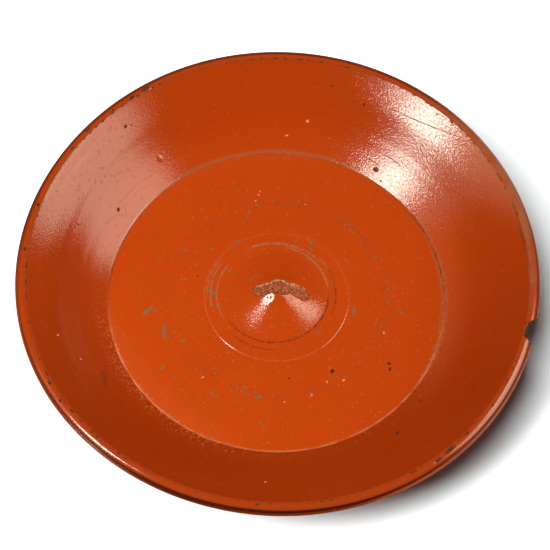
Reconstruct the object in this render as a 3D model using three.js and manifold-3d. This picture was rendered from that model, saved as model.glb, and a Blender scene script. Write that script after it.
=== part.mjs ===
// Red-slipped pottery dish: a wheel-thrown body with a moulded lip and a raised centre,
// standing on a turned foot ring that is bedded in clay slip in a shallow seat under the floor.
// Millimetres, +Z up. The origin is the centre of the circle that the dish stands on.
import * as THREE from "three";
import { mergeVertices } from "three/addons/utils/BufferGeometryUtils.js";
import Module from "manifold-3d";

// Foot ring
const FOOT_DIAMETER = 105.6; // mid-line of the standing face
const FOOT_HEIGHT = 9; // table to the underside of the floor
const STANDING_WIDTH = 3.4; // flat face that rests on the table
const FOOT_EDGE = 0.6; // eased edges beside the standing face
const FOOT_OUTER_FLARE = 1.3; // how far the outer face grows outward to the top
const FOOT_INNER_FLARE = 5.2; // how far the inner face grows inward to the top

// Seat of the foot ring and the slip that beds it
const SEAT_DEPTH = 1.2; // recess turned into the underside
const SEAT_CLEARANCE = 0.3; // beside the foot ring in its seat
const LUTING_THICKNESS = 0.6;

// Floor
const FLOOR_DIAMETER = 163; // circle where the floor meets the wall
const FLOOR_THICKNESS = 6.5; // at that circle
const FLOOR_RISE = 2; // from that circle to the turned ring
const FLOOR_FILLET = 1.6; // softened inner angle between floor and wall
const RING_DIAMETER = 70.6; // turned ring round the centre
const RING_WIDTH = 1.4;
const RING_DEPTH = 0.4;

// Raised centre, pushed up from below
const KICK_DIAMETER = 53;
const KICK_HEIGHT = 8; // above the floor beside it
const KICK_THICKNESS = 9; // clay left at its peak
const KICK_FOOT_PULL = 10; // curve handle along the floor
const KICK_PEAK_PULL = 4; // curve handle across the peak

// Wall
const WALL_BASE_THICKNESS = 6.5;
const WALL_TOP_THICKNESS = 5;
const HEEL_SIZE = 7; // rounded turn from the underside into the wall

// Lip: a worn inner arris, a rounded bead, a groove and a thin ridge below it
const RIM_DIAMETER = 250; // over the ridge
const INNER_DEPTH = 29.8; // floor circle to the top of the lip
const ARRIS_INSET = 5.55; // from the ridge to the arris, in plan
const ARRIS_DROP = 0.6; // below the top of the lip
const BEAD_RADIUS = 1.8;
const BEAD_SETBACK = 1.2; // the bead stands inside the ridge
const RIDGE_RADIUS = 0.8;
const GROOVE_WIDTH = 0.4;
const RIDGE_UNDERCUT = 0.7; // the ridge's underside falls this far to the wall

// Chip broken out of the lip
const CHIP_BEARING = -13.2; // degrees from +X
const CHIP_MOUTH = 13.6; // length along the rim
const CHIP_BACK = 8; // length of its inner edge
const CHIP_DEPTH = 4.6; // from the rim inwards
const CHIP_LEAN = 20; // degrees: the broken face leans outward on its way down
const CHIP_HEIGHT = 9; // reach of the cut below the top of the lip
const CHIP_OVERRUN = 4; // the cut starts this far outside the clay

// Fineness of the turned forms
const TURN_STEPS = 80;
const CURVE_STEPS = 4;
const WELD_DISTANCE = 1e-4;

// Levels and radii that the pieces share
const footRadius = FOOT_DIAMETER / 2;
const standingInner = footRadius - STANDING_WIDTH / 2;
const standingOuter = footRadius + STANDING_WIDTH / 2;
const footTopInner = standingInner - FOOT_EDGE - FOOT_INNER_FLARE;
const footTopOuter = standingOuter + FOOT_EDGE + FOOT_OUTER_FLARE;
const seatLevel = FOOT_HEIGHT + SEAT_DEPTH;
const footTopLevel = seatLevel - LUTING_THICKNESS;
const floorRadius = FLOOR_DIAMETER / 2;
const floorLevel = FOOT_HEIGHT + FLOOR_THICKNESS;
const rimRadius = RIM_DIAMETER / 2;
const lipTop = floorLevel + INNER_DEPTH;

const glossRed = new THREE.MeshStandardMaterial({ color: 0xc8420f, roughness: 0.35, metalness: 0 });
const footRed = new THREE.MeshStandardMaterial({ color: 0xb84418, roughness: 0.5, metalness: 0 });
const driedSlip = new THREE.MeshStandardMaterial({ color: 0xc07a50, roughness: 0.9, metalness: 0 });

const wasm = await Module();
wasm.setup();

// Shared corners, with the collapsed triangles on the turning axis left out
function welded(geometry) {
  const bare = geometry.clone();
  bare.deleteAttribute("normal");
  bare.deleteAttribute("uv");
  const merged = mergeVertices(bare, WELD_DISTANCE);
  const corners = merged.index.array;
  const kept = [];
  for (let i = 0; i < corners.length; i += 3) {
    const [a, b, c] = corners.slice(i, i + 3);
    if (a !== b && b !== c && c !== a) kept.push(a, b, c);
  }
  merged.setIndex(kept);
  merged.computeVertexNormals();
  return merged;
}

// A profile of radius and height, turned about the dish's axis
function turned(profile) {
  const geometry = new THREE.LatheGeometry(profile.getPoints(CURVE_STEPS), TURN_STEPS);
  return welded(geometry.rotateX(Math.PI / 2));
}

function toSolid(geometry) {
  const vertProperties = new Float32Array(geometry.attributes.position.array);
  const triVerts = new Uint32Array(geometry.index.array);
  return new wasm.Manifold(new wasm.Mesh({ numProp: 3, vertProperties, triVerts }));
}

function toGeometry(solid) {
  const { vertProperties, triVerts } = solid.getMesh();
  const geometry = new THREE.BufferGeometry();
  geometry.setAttribute("position", new THREE.BufferAttribute(vertProperties, 3));
  geometry.setIndex(new THREE.BufferAttribute(triVerts, 1));
  geometry.computeVertexNormals();
  return geometry;
}

function piece(name, geometry, material) {
  const mesh = new THREE.Mesh(geometry, material);
  mesh.name = name;
  return mesh;
}

// The flaring wall: its inner face runs from the floor circle to the arris, and its outer face
// lies one wall thickness away, thinner at the top
function wallFaces() {
  const foot = new THREE.Vector2(floorRadius, floorLevel);
  const arris = new THREE.Vector2(rimRadius - ARRIS_INSET, lipTop - ARRIS_DROP);
  const along = arris.clone().sub(foot).normalize();
  const outward = new THREE.Vector2(along.y, -along.x);
  const outerFoot = foot.clone().addScaledVector(outward, WALL_BASE_THICKNESS);
  const outerTop = arris.clone().addScaledVector(outward, WALL_TOP_THICKNESS);
  const outerAlong = outerTop.clone().sub(outerFoot).normalize();
  const outerAt = (level) =>
    outerFoot.clone().addScaledVector(outerAlong, (level - outerFoot.y) / outerAlong.y);
  return { foot, arris, along, outerAlong, outerAt };
}

// Underside, from the axis outward: hollow under the raised centre, seat of the foot ring
function drawUnderside(profile) {
  const kickRadius = KICK_DIAMETER / 2;
  const kickPeak = floorLevel + FLOOR_RISE + KICK_HEIGHT;
  const hollowTop = kickPeak - KICK_THICKNESS;
  profile.moveTo(0, hollowTop);
  profile.bezierCurveTo(
    KICK_PEAK_PULL, hollowTop,
    kickRadius - KICK_FOOT_PULL, FOOT_HEIGHT,
    kickRadius, FOOT_HEIGHT,
  );
  profile.lineTo(footTopInner - SEAT_CLEARANCE, FOOT_HEIGHT);
  profile.lineTo(footTopInner - SEAT_CLEARANCE, seatLevel);
  profile.lineTo(footTopOuter + SEAT_CLEARANCE, seatLevel);
  profile.lineTo(footTopOuter + SEAT_CLEARANCE, FOOT_HEIGHT);
}

// Heel and outer face, up to the underside of the ridge
function drawOuterWall(profile, wall, ridgeFoot) {
  const heel = wall.outerAt(FOOT_HEIGHT);
  const heelEnd = heel.clone().addScaledVector(wall.outerAlong, HEEL_SIZE);
  profile.lineTo(heel.x - HEEL_SIZE, FOOT_HEIGHT);
  profile.quadraticCurveTo(heel.x, heel.y, heelEnd.x, heelEnd.y);
  const wallEnd = wall.outerAt(ridgeFoot - RIDGE_UNDERCUT);
  profile.lineTo(wallEnd.x, wallEnd.y);
}

// Centres of the lip's two rounds: the ridge hangs below and outside the bead,
// one groove width from touching it
function lipRounds() {
  const bead = new THREE.Vector2(rimRadius - BEAD_SETBACK - BEAD_RADIUS, lipTop - BEAD_RADIUS);
  const apart = BEAD_RADIUS + GROOVE_WIDTH + RIDGE_RADIUS;
  const across = rimRadius - RIDGE_RADIUS - bead.x;
  const slant = Math.acos(across / apart);
  const ridge = new THREE.Vector2(bead.x + across, bead.y - apart * Math.sin(slant));
  return { bead, ridge, slant };
}

function drawLip(profile, wall, { bead, ridge, slant }) {
  const quarter = Math.PI / 2;
  profile.absarc(ridge.x, ridge.y, RIDGE_RADIUS, -quarter, Math.PI - slant, false);
  profile.absarc(bead.x, bead.y, BEAD_RADIUS, -slant, quarter, false);
  profile.lineTo(wall.arris.x, wall.arris.y);
}

// Inner face, floor, turned ring and raised centre, back to the axis
function drawInside(profile, wall) {
  const fromFoot = wall.foot.clone().addScaledVector(wall.along, FLOOR_FILLET);
  profile.lineTo(fromFoot.x, fromFoot.y);
  profile.quadraticCurveTo(floorRadius, floorLevel, floorRadius - FLOOR_FILLET, floorLevel);

  const ringRadius = RING_DIAMETER / 2;
  const raised = floorLevel + FLOOR_RISE;
  profile.lineTo(ringRadius + RING_WIDTH / 2, raised);
  profile.lineTo(ringRadius, raised - RING_DEPTH);
  profile.lineTo(ringRadius - RING_WIDTH / 2, raised);

  const kickRadius = KICK_DIAMETER / 2;
  const kickPeak = raised + KICK_HEIGHT;
  profile.lineTo(kickRadius, raised);
  profile.bezierCurveTo(kickRadius - KICK_FOOT_PULL, raised, KICK_PEAK_PULL, kickPeak, 0, kickPeak);
}

// The wedge of clay that the chip took out of the lip
function chipWedge() {
  const outline = new THREE.Shape();
  outline.moveTo(0, -CHIP_BACK / 2);
  outline.lineTo(CHIP_DEPTH, -CHIP_MOUTH / 2);
  outline.lineTo(CHIP_DEPTH + CHIP_OVERRUN, -CHIP_MOUTH / 2);
  outline.lineTo(CHIP_DEPTH + CHIP_OVERRUN, CHIP_MOUTH / 2);
  outline.lineTo(CHIP_DEPTH, CHIP_MOUTH / 2);
  outline.lineTo(0, CHIP_BACK / 2);
  const wedge = new THREE.ExtrudeGeometry(outline, {
    depth: CHIP_HEIGHT + CHIP_OVERRUN,
    bevelEnabled: false,
  });
  wedge.translate(0, 0, -CHIP_HEIGHT);
  wedge.rotateY(THREE.MathUtils.degToRad(-CHIP_LEAN));
  wedge.translate(rimRadius - CHIP_DEPTH, 0, lipTop);
  wedge.rotateZ(THREE.MathUtils.degToRad(CHIP_BEARING));
  return welded(wedge);
}

function bowlBody() {
  const wall = wallFaces();
  const rounds = lipRounds();
  const profile = new THREE.Path();
  drawUnderside(profile);
  drawOuterWall(profile, wall, rounds.ridge.y - RIDGE_RADIUS);
  drawLip(profile, wall, rounds);
  drawInside(profile, wall);
  const chipped = toSolid(turned(profile)).subtract(toSolid(chipWedge()));
  return piece("bowl_body", toGeometry(chipped), glossRed);
}

// A thin bed of slip between the foot ring and the roof of its seat
function lutingSlip() {
  const profile = new THREE.Path();
  profile.moveTo(footTopInner, footTopLevel);
  profile.lineTo(footTopOuter, footTopLevel);
  profile.lineTo(footTopOuter, seatLevel);
  profile.lineTo(footTopInner, seatLevel);
  profile.closePath();
  return piece("luting_slip", turned(profile), driedSlip);
}

// The foot ring, narrow where it stands and broad where it joins the floor
function footRing() {
  const profile = new THREE.Path();
  profile.moveTo(standingInner, 0);
  profile.lineTo(standingOuter, 0);
  profile.quadraticCurveTo(standingOuter + FOOT_EDGE, 0, standingOuter + FOOT_EDGE, FOOT_EDGE);
  profile.lineTo(footTopOuter, footTopLevel);
  profile.lineTo(footTopInner, footTopLevel);
  profile.lineTo(standingInner - FOOT_EDGE, FOOT_EDGE);
  profile.quadraticCurveTo(standingInner - FOOT_EDGE, 0, standingInner, 0);
  return piece("foot_ring", turned(profile), footRed);
}

const dish = new THREE.Group();
dish.add(bowlBody(), lutingSlip(), footRing());

export default dish;
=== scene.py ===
import math
from types import SimpleNamespace
import bmesh
import bpy
import numpy as np
from mathutils import Matrix, Vector, noise


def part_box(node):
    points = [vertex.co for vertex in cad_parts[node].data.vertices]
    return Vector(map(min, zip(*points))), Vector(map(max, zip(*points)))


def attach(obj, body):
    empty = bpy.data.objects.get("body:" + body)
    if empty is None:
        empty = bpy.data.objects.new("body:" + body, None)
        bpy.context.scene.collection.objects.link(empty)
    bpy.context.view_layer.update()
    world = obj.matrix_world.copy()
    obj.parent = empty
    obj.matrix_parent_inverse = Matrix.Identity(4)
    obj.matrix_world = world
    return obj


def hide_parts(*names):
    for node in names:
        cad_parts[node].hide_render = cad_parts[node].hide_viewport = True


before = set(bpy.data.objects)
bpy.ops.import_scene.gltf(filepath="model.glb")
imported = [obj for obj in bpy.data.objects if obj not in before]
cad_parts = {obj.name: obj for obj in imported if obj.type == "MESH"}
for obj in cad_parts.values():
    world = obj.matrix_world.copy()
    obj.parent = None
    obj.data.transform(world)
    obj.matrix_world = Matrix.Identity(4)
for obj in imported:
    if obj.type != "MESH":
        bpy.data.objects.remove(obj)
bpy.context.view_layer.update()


# The thrown body: floor, wall and lip drawn up from one lump of fine red clay on the wheel, with the
# middle of the floor pushed up into a low cone. It was dipped in a thin slip that fired to a glossy
# orange red. A piece of the lip has broken out since, and use has scuffed the gloss.
RIM_RADIUS = 0.125
UNDERSIDE = 0.009
FLOOR_LEVEL = 0.0155
FLOOR_RADIUS = 0.0815
FLOOR_RISE = 0.002
FLOOR_FILLET = 0.0016
RING_RADIUS = 0.0353
RING_DEPTH = 0.00018
RING_INNER_FLANK = 0.00045
RING_OUTER_FLANK = 0.0018
KICK_RADIUS = 0.0265
KICK_HEIGHT = 0.0085
KICK_THICKNESS = 0.009
KICK_FOOT_PULL = 0.010
KICK_PEAK_PULL = 0.004
SEAT_INNER = 0.0450
SEAT_OUTER = 0.0567
SEAT_LEVEL = 0.0102
WALL_BASE_THICKNESS = 0.0065
WALL_TOP_THICKNESS = 0.005
HEEL_SIZE = 0.007
LIP_TOP = 0.0453
ARRIS_RADIUS = RIM_RADIUS - 0.0055
ARRIS_LEVEL = LIP_TOP - 0.0006
ARRIS_EASE = 0.0005
LIP_CREST = (RIM_RADIUS - 0.0036, LIP_TOP)
BEAD_HIGH = (RIM_RADIUS - 0.0030, LIP_TOP - 0.0001)
BEAD_LOW = (RIM_RADIUS - 0.0015, LIP_TOP - 0.0009)
BEAD_SIDE = (RIM_RADIUS - 0.0010, LIP_TOP - 0.0017)
GROOVE = (RIM_RADIUS - 0.0014, LIP_TOP - 0.0027)
RIDGE_RADIUS = 0.0005
RIDGE = (RIM_RADIUS - RIDGE_RADIUS, LIP_TOP - 0.0038)
RIDGE_UNDERCUT = 0.0007
TURN_STEPS = 288

kick_foot_level = FLOOR_LEVEL + FLOOR_RISE
kick_peak = kick_foot_level + KICK_HEIGHT
wall_foot = np.array([FLOOR_RADIUS, FLOOR_LEVEL])
arris = np.array([ARRIS_RADIUS, ARRIS_LEVEL])
wall_length = np.linalg.norm(arris - wall_foot)
wall_along = (arris - wall_foot) / wall_length
wall_outward = np.array([wall_along[1], -wall_along[0]])


def straight(start, end, steps):
    """Points along a line, without its first."""
    share = np.linspace(0, 1, steps + 1)[1:, None]
    return np.array(start) + share * (np.array(end) - np.array(start))


def curved(start, first_pull, second_pull, end, steps):
    """Points along a curve drawn by two pulls, without its first."""
    share = np.linspace(0, 1, steps + 1)[1:, None]
    rest = 1 - share
    first_half = rest**3 * np.array(start) + 3 * rest**2 * share * np.array(first_pull)
    second_half = 3 * rest * share**2 * np.array(second_pull) + share**3 * np.array(end)
    return first_half + second_half


def rounded(centre, radius, first, last, steps):
    """Points along an arc between two angles."""
    angle = np.linspace(first, last, steps + 1)
    return np.array(centre) + radius * np.stack([np.cos(angle), np.sin(angle)], axis=1)


def bent(share, bends):
    """How far a line has strayed from straight where it leans by degrees given at shares of its length."""
    at, lean = np.array(bends).T
    slope = np.tan(np.radians(np.interp(share, at, lean)))
    steps = np.diff(share) * (slope[1:] + slope[:-1]) / 2
    return np.concatenate([[0], np.cumsum(steps)])


def underside_profile():
    """From the axis outward: the hollow under the kick, the flat, the foot ring's seat, the heel."""
    hollow_top = kick_peak - KICK_THICKNESS
    outer_foot = wall_foot + WALL_BASE_THICKNESS * wall_outward
    outer_top = arris + WALL_TOP_THICKNESS * wall_outward
    outer_along = (outer_top - outer_foot) / np.linalg.norm(outer_top - outer_foot)
    heel = outer_foot + outer_along * (UNDERSIDE - outer_foot[1]) / outer_along[1]
    ridge_foot = RIDGE[1] - RIDGE_RADIUS - RIDGE_UNDERCUT
    wall_end = outer_foot + outer_along * (ridge_foot - outer_foot[1]) / outer_along[1]
    heel_end = heel + HEEL_SIZE * outer_along
    heel_start = (heel[0] - HEEL_SIZE, UNDERSIDE)
    kick_edge = (KICK_RADIUS, UNDERSIDE)
    return np.vstack([
        [(0, hollow_top)],
        curved((0, hollow_top), (KICK_PEAK_PULL, hollow_top),
               (KICK_RADIUS - KICK_FOOT_PULL, UNDERSIDE), kick_edge, 22),
        straight(kick_edge, (SEAT_INNER, UNDERSIDE), 4),
        straight((SEAT_INNER, UNDERSIDE), (SEAT_INNER, SEAT_LEVEL), 2),
        straight((SEAT_INNER, SEAT_LEVEL), (SEAT_OUTER, SEAT_LEVEL), 3),
        straight((SEAT_OUTER, SEAT_LEVEL), (SEAT_OUTER, UNDERSIDE), 2),
        straight((SEAT_OUTER, UNDERSIDE), heel_start, 4),
        curved(heel_start, heel, heel, heel_end, 12),
        straight(heel_end, wall_end, 14),
    ])


def lip_profile():
    """The thin ridge, the groove above it, the sloping bead and the eased inner arris."""
    ridge_rows = rounded(RIDGE, RIDGE_RADIUS, -math.pi / 2, 0.6 * math.pi, 16)
    crest = np.array(LIP_CREST)
    across = (arris - crest) / np.linalg.norm(arris - crest)
    before = arris - ARRIS_EASE * across
    after = arris - ARRIS_EASE * wall_along
    return np.vstack([
        ridge_rows,
        curved(ridge_rows[-1], (RIDGE[0], GROOVE[1] - 0.0005), (GROOVE[0], GROOVE[1] - 0.0003), GROOVE, 6),
        curved(GROOVE, (GROOVE[0], GROOVE[1] + 0.0004), (BEAD_SIDE[0], GROOVE[1] + 0.0006), BEAD_SIDE, 8),
        curved(BEAD_SIDE, (BEAD_SIDE[0], BEAD_SIDE[1] + 0.0004),
               (BEAD_LOW[0] + 0.0003, BEAD_LOW[1] - 0.00016), BEAD_LOW, 8),
        curved(BEAD_LOW, (BEAD_LOW[0] - 0.0005, BEAD_LOW[1] + 0.00044),
               (BEAD_HIGH[0] + 0.0005, BEAD_HIGH[1] - 0.00008), BEAD_HIGH, 10),
        curved(BEAD_HIGH, (BEAD_HIGH[0] - 0.0002, LIP_TOP), (LIP_CREST[0] + 0.0002, LIP_TOP), LIP_CREST, 4),
        straight(LIP_CREST, before, 6),
        curved(before, arris, arris, after, 6),
    ])


# The wall's lean away from straight, in degrees flatter, at shares of its height
WALL_BENDS = [
    (0, 2.0), (0.12, 2.4), (0.22, 0.8), (0.3, -1.6), (0.45, -4.2), (0.6, -5.6), (0.72, -2.0), (0.8, 1.6),
    (0.88, 3.0), (1, 2.6),
]
# The kick's slope in degrees at shares of the way from its foot to its peak
KICK_BENDS = [
    (0, 0), (0.05, 7), (0.10, 14), (0.15, 17), (0.22, 19.8), (0.32, 21.2), (0.45, 22.2), (0.55, 22.5),
    (0.63, 24.5), (0.68, 29), (0.87, 29), (0.92, 22), (0.955, 10), (1, 0),
]


def inside_profile():
    """Down the wall, round the angle, over the floor and its turned ring, and up the kick."""
    share = np.linspace(0, 1, 61)
    stray = bent(share, WALL_BENDS)
    stray = (stray - share * stray[-1]) * wall_length
    wall = wall_foot + share[:, None] * wall_length * wall_along + stray[:, None] * wall_outward
    from_foot = share * wall_length
    wall = wall[(from_foot > FLOOR_FILLET) & (from_foot < wall_length - ARRIS_EASE)][::-1]
    floor_edge = (FLOOR_RADIUS - FLOOR_FILLET, FLOOR_LEVEL)
    ring_outer = (RING_RADIUS + RING_OUTER_FLANK, kick_foot_level)
    ring_inner = (RING_RADIUS - RING_INNER_FLANK, kick_foot_level)
    across = np.linspace(-1, 1, 21)[1:-1]
    flank = np.where(across < 0, RING_OUTER_FLANK, RING_INNER_FLANK)
    dip = RING_DEPTH * (1 + np.cos(math.pi * across)) / 2
    ring = np.stack([RING_RADIUS - across * flank, kick_foot_level - dip], axis=1)
    kick_edge = (KICK_RADIUS, kick_foot_level)
    inward = np.linspace(0, 1, 91)
    climb = bent(inward, KICK_BENDS) * KICK_RADIUS
    kick = np.stack([KICK_RADIUS * (1 - inward), kick_foot_level + climb], axis=1)
    return np.vstack([
        wall,
        curved(wall[-1], wall_foot, wall_foot, floor_edge, 8),
        straight(floor_edge, ring_outer, 12),
        ring,
        [ring_inner],
        straight(ring_inner, kick_edge, 6),
        kick[1:],
    ])


def turned(profile):
    """A profile of radius and height, turned about the dish's axis into a grid of points."""
    angle = np.arange(TURN_STEPS) * 2 * math.pi / TURN_STEPS
    points = np.empty((len(profile), TURN_STEPS, 3))
    points[..., 0] = profile[:, :1] * np.cos(angle)
    points[..., 1] = profile[:, :1] * np.sin(angle)
    points[..., 2] = profile[:, 1:]
    return points


def as_piece(name, points, closed):
    """Joins the grid's points by faces that point outward, welded where rows meet on the axis."""
    rows, steps = points.shape[:2]
    index = np.arange(rows * steps).reshape(rows, steps)
    first = index if closed else index[:-1]
    second = np.roll(index, -1, axis=0) if closed else index[1:]
    corners = [first, np.roll(first, -1, axis=1), np.roll(second, -1, axis=1), second]
    faces = np.stack(corners, axis=-1).reshape(-1, 4)
    mesh = bpy.data.meshes.new(name)
    mesh.from_pydata(points.reshape(-1, 3).tolist(), [], faces.tolist())
    work = bmesh.new()
    work.from_mesh(mesh)
    bmesh.ops.remove_doubles(work, verts=work.verts, dist=1e-7)
    work.to_mesh(mesh)
    work.free()
    piece = bpy.data.objects.new(name, mesh)
    bpy.context.scene.collection.objects.link(piece)
    return piece


def from_polar(bearing, radius, level=0.0):
    """The place at that bearing in degrees and that distance from the axis."""
    angle = math.radians(bearing)
    return Vector((radius * math.cos(angle), radius * math.sin(angle), level))


# The worn patch on the kick, in four low lobes: bearing, distance from the axis, length, width, and
# turn from the tangent
PATCH_LOBES = [
    (178, 0.0064, 0.0108, 0.0070, 94),
    (40, 0.0019, 0.0112, 0.0094, 48),
    (3, 0.0094, 0.0104, 0.0062, 66),
    (-3, 0.0128, 0.0064, 0.0054, 20),
]
PATCH_DEPTH = 0.00030
# Where pressing the patch flattened the kick beside it: bearing, distance from the axis, reach, and the
# way the flat faces, as a bearing and a slope
PRESSED_FLAT = (236, 0.0058, 0.0042, 230, 29.0)
# How the rim strayed from round, fitted to its outline: waves to a turn, and the cosine and sine parts
RIM_WARP = [(1, 0.00057, -0.00081), (2, -0.00007, 0), (3, -0.00022, -0.00034), (4, -0.00008, 0.00016)]
HAND_WAVE = 0.00010
THROWING_RIPPLE = 0.000018
RIPPLE_LENGTHS = (0.0063, 0.0041)
RIPPLE_FADE = 0.004


def patch_nearness(x, y):
    """Under 1 inside the worn patch."""
    nearest = np.full(x.shape, 9.0)
    for bearing, radius, length, width, turn in PATCH_LOBES:
        middle = from_polar(bearing, radius)
        angle = math.radians(bearing + 90 + turn)
        along = (x - middle.x) * math.cos(angle) + (y - middle.y) * math.sin(angle)
        aside = (y - middle.y) * math.cos(angle) - (x - middle.x) * math.sin(angle)
        nearest = np.minimum(nearest, np.hypot(2 * along / length, 2 * aside / width))
    return nearest


def pressed_flat(x, y, z):
    """How far the clay moves to lie in the flat beside the patch."""
    bearing, radius, reach, facing_bearing, slope = PRESSED_FLAT
    middle = from_polar(bearing, radius)
    fall = from_polar(facing_bearing, math.tan(math.radians(slope)))
    away = np.hypot(x - middle.x, y - middle.y)
    share = np.clip((reach - away) / (0.6 * reach), 0, 1)
    share = share * share * (3 - 2 * share)
    level = np.interp(radius, inside_rows[::-1, 0], inside_rows[::-1, 1])
    flat = level - (x - middle.x) * fall.x - (y - middle.y) * fall.y
    return share * (flat - z)


def strayed(points):
    """Moves the wall and the lip out and in with the warp of the rim."""
    x, y = points[..., 0], points[..., 1]
    radius = np.hypot(x, y)
    bearing = np.arctan2(y, x)
    outward = sum(a * np.cos(n * bearing) + b * np.sin(n * bearing) for n, a, b in RIM_WARP)
    share = np.clip((radius - FLOOR_RADIUS) / (RIM_RADIUS - FLOOR_RADIUS), 0, 1)
    points[..., :2] *= (1 + outward * share / np.maximum(radius, FLOOR_RADIUS))[..., None]
    return points


def worked_by_hand(points, inside_from):
    """The potter's small unevenness, the throwing marks and the worn patch, pressed into the clay."""
    x, y, z = (points[..., i] for i in range(3))
    radius = np.hypot(x, y)
    bearing = np.arctan2(y, x)
    nearness = patch_nearness(x, y)
    lift = radius / RIM_RADIUS
    z += HAND_WAVE * lift**2 * (np.sin(2 * bearing + 0.7) + 0.6 * np.sin(3 * bearing + 2.1))
    from_floor = np.clip((radius - FLOOR_RADIUS) / RIPPLE_FADE, 0, 1)
    on_wall = from_floor * np.clip((ARRIS_RADIUS - radius) / RIPPLE_FADE, 0, 1)
    ripple = np.sin(radius * 2 * math.pi / RIPPLE_LENGTHS[0] + bearing)
    ripple += 0.5 * np.sin(radius * 2 * math.pi / RIPPLE_LENGTHS[1] - bearing)
    inside = np.zeros(len(points))
    inside[inside_from:] = 1
    z += THROWING_RIPPLE * ripple * on_wall * inside[:, None]
    z += pressed_flat(x, y, z) * inside[:, None]
    sunk = np.clip((1.10 - nearness) / 0.16, 0, 1)
    frame_up = np.clip((0.94 - nearness) / 0.16, 0, 1) - 0.35 * np.clip((0.74 - nearness) / 0.2, 0, 1)
    rough = np.sin(x * 4200 + 3 * np.sin(y * 2900)) * np.sin(y * 4700 + 2 * np.sin(x * 3300))
    worn = PATCH_DEPTH * (sunk - 1.15 * frame_up + 0.50 * rough * sunk)
    z -= worn * inside[:, None]
    return strayed(points)


outer_rows = underside_profile()
lip_rows = lip_profile()
inside_rows = inside_profile()
body_profile = np.vstack([outer_rows, lip_rows, inside_rows])
inside_from = len(outer_rows) + len(lip_rows)
body_points = worked_by_hand(turned(body_profile), inside_from)
dish = as_piece("dish_body", body_points, closed=False)

# Chip in the lip: its edge in plan, from the upper end along the rim to the lower end
CHIP_EDGE = [
    (-9.4, 0.1275), (-10.0, 0.1241), (-10.6, 0.1236), (-11.5, 0.1222), (-12.2, 0.1208), (-13.2, 0.1203),
    (-14.4, 0.1201), (-15.4, 0.1202), (-15.9, 0.1218), (-16.5, 0.1240), (-16.8, 0.1275),
]
CHIP_LEAN = 0.10
CHIP_FLOOR = 0.036
CHIP_ROOF = 0.049
CHIP_OUTSIDE = 0.134
CHIP_ROUGHNESS = 0.00022
CHIP_GRAIN = 420
CHIP_SWAY = 60
CHIP_EDGE_STEPS = 70
CHIP_LEVELS = 30


def chip_cutter():
    """The missing sherd: the broken edge carried down through the lip, uneven as fired clay breaks."""
    bearing, radius = np.array(CHIP_EDGE).T
    fine = np.linspace(0, 1, CHIP_EDGE_STEPS)
    knots = np.linspace(0, 1, len(bearing))
    edge_bearing = np.interp(fine, knots, bearing)
    edge_radius = np.interp(fine, knots, radius)
    levels = np.linspace(CHIP_FLOOR, CHIP_ROOF, CHIP_LEVELS)
    work = bmesh.new()
    rows = []
    for level in levels:
        lean = CHIP_LEAN * (LIP_TOP - level)
        row = []
        for angle, reach in zip(edge_bearing, edge_radius):
            place = from_polar(angle, reach + lean, level)
            waver = noise.fractal(place * CHIP_GRAIN, 1.0, 2.0, 4) * CHIP_ROUGHNESS * 2
            row.append(work.verts.new(from_polar(angle + waver * CHIP_SWAY, reach + lean + waver, level)))
        for angle in (edge_bearing[-1], edge_bearing[0]):
            row.append(work.verts.new(from_polar(angle, CHIP_OUTSIDE, level)))
        rows.append(row)
    for lower, upper in zip(rows, rows[1:]):
        for i in range(len(lower)):
            after = (i + 1) % len(lower)
            work.faces.new((lower[i], lower[after], upper[after], upper[i]))
    work.faces.new(rows[0])
    work.faces.new(rows[-1])
    return work


# Flakes of the lip and pits in the gloss: bearing, distance from the axis, half length, half width, depth
LIP_FLAKES = [
    (-48.5, 0.1214, 0.0040, 0.0010, 0.0008),
    (-52.0, 0.1220, 0.0022, 0.0008, 0.0005),
    (-43.0, 0.1208, 0.0010, 0.0007, 0.0004),
    (-34.3, 0.1214, 0.0009, 0.0008, 0.0004),
    (45.4, 0.1194, 0.0013, 0.0008, 0.0006),
    (124.0, 0.1206, 0.0030, 0.0009, 0.0004),
    (128.0, 0.1204, 0.0018, 0.0007, 0.0004),
    (133.6, 0.1204, 0.0006, 0.0009, 0.0004),
    (141.5, 0.1216, 0.0022, 0.0008, 0.0004),
    (147.5, 0.1206, 0.0012, 0.0007, 0.0004),
    (176.3, 0.1212, 0.0012, 0.0009, 0.0005),
    (164.4, 0.1210, 0.0012, 0.0009, 0.0004),
    (211.0, 0.1214, 0.0014, 0.0009, 0.0004),
    (216.0, 0.1218, 0.0009, 0.0007, 0.0004),
    (-93.0, 0.1214, 0.0012, 0.0007, 0.0004),
]
SURFACE_PITS = [
    (56.5, 0.0862, 0.0014, 0.0012, 0.0005),
    (133.3, 0.1113, 0.0011, 0.0006, 0.0004),
    (-52.0, 0.0940, 0.0012, 0.0006, 0.0004),
    (67.5, 0.1073, 0.0005, 0.0010, 0.0004),
    (49.5, 0.1179, 0.0006, 0.0006, 0.0004),
    (150.8, 0.0901, 0.0010, 0.0005, 0.0004),
    (-55.0, 0.0480, 0.0012, 0.0009, 0.0003),
]
# Stretches of the arris that are nicked most: middle bearing, half width, nicks
ARRIS_WEAR = [(134, 16, 15), (224, 15, 11), (20, 20, 12), (88, 16, 7), (300, 28, 8), (180, 14, 6)]
# The nicks: longer between two bearings, none across the chip, and further out along the near side
NICK_LENGTHS = (0.0004, 0.0014)
NICK_WIDTH = 0.00045
NICK_DEPTHS = (0.00018, 0.00036)
NICK_SPACING = 1.7
LONG_NICKS_FROM, LONG_NICKS_TO = -5, 50
LONG_NICK_FACTOR = 1.8
CHIP_FROM, CHIP_TO = -19, -7
NEAR_WEAR_FROM, NEAR_WEAR_TO = 190, 330
NEAR_WEAR_SHIFT = 0.0010
# Rows of the lip's profile from the top of the bead inward
LIP_TOP_ROWS = 24


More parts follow.
